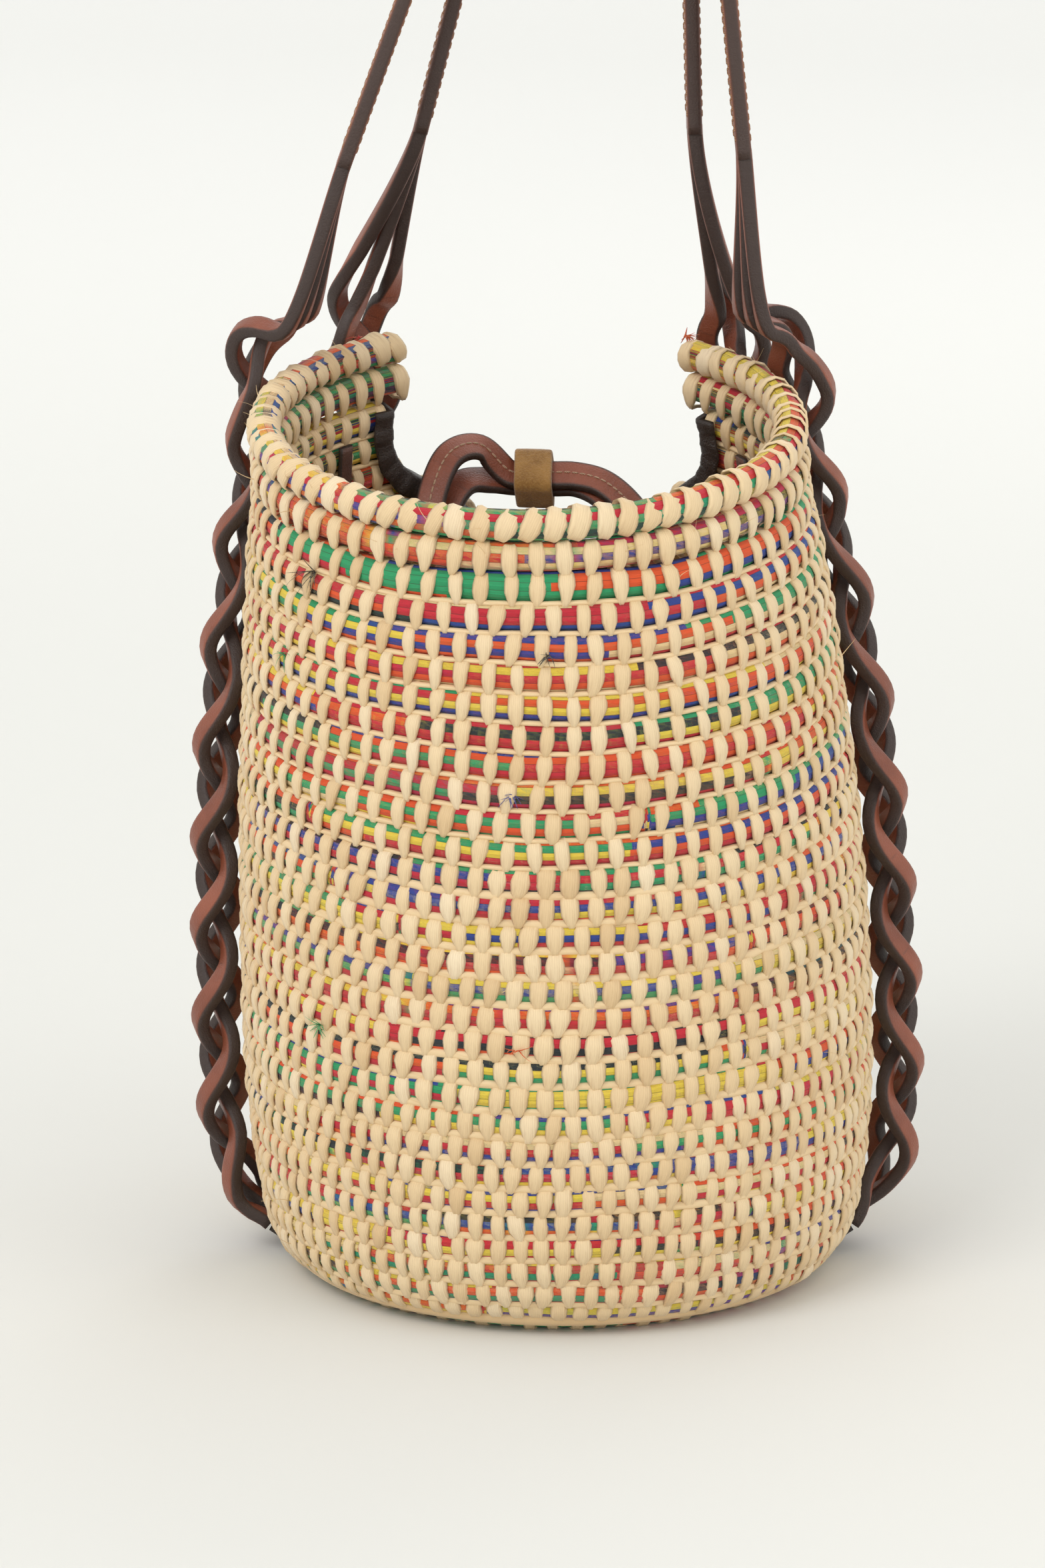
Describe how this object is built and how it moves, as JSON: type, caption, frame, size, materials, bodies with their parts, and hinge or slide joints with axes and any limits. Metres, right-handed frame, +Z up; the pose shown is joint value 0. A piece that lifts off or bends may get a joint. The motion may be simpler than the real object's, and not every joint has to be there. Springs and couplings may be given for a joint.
{
  "type": "bucket bag",
  "caption": "Coil-sewn raffia bucket bag with a notched front, two long leather handles plaited down its sides, and a strap closure.",
  "frame": {"origin": "centre of the bounding box, on the surface that the bag stands on", "axes": "+Z up, +Y towards the notched front, +X to the right seen from behind"},
  "size_m": [0.2461, 0.214, 0.602],
  "materials": {
    "raffia": "natural matte",
    "plait_leather": "smooth chestnut with dark painted edges",
    "handle_leather": "smooth chestnut with dark painted edges",
    "dark_leather": "dark brown, worn",
    "suede": "suede side out, ochre brown"
  },
  "bodies": {
    "basket": {"back_left_strand_1": "plait_leather", "back_left_strand_2": "plait_leather", "back_left_strand_3": "plait_leather", "back_right_strand_1": "plait_leather", "back_right_strand_2": "plait_leather", "back_right_strand_3": "plait_leather", "back_under_strap": "dark_leather", "basket_base": "raffia", "basket_wall": "raffia", "closure_tab_left": "suede", "closure_tab_right": "suede", "front_left_strand_1": "plait_leather", "front_left_strand_2": "plait_leather", "front_left_strand_3": "plait_leather", "front_right_strand_1": "plait_leather", "front_right_strand_2": "plait_leather", "front_right_strand_3": "plait_leather", "front_under_strap": "dark_leather", "inside_strip_left": "dark_leather", "inside_strip_right": "dark_leather", "lower_closure_strap": "handle_leather", "notch_binding": "dark_leather", "rim_coil": "raffia", "second_coil": "raffia", "upper_closure_strap": "handle_leather"},
    "back_handle": {"back_handle": "handle_leather"},
    "front_handle": {"front_handle": "handle_leather"},
    "keeper": {"keeper_loop": "suede"}
  },
  "joints": [
    {"name": "back_handle_swing", "type": "hinge", "parent": "basket", "child": "back_handle", "pos_m": [-0.01, 0.0377, 0.315], "axis": [1, 0, 0], "range_deg": [0, 80]},
    {"name": "front_handle_swing", "type": "hinge", "parent": "basket", "child": "front_handle", "pos_m": [-0.005, 0.0678, 0.322], "axis": [0.9972, -0.0747, 0], "range_deg": [-60, 0]},
    {"name": "keeper_slide", "type": "slide", "parent": "basket", "child": "keeper", "axis": [1, 0, 0], "range_m": [-0.001, 0.006]}
  ]
}
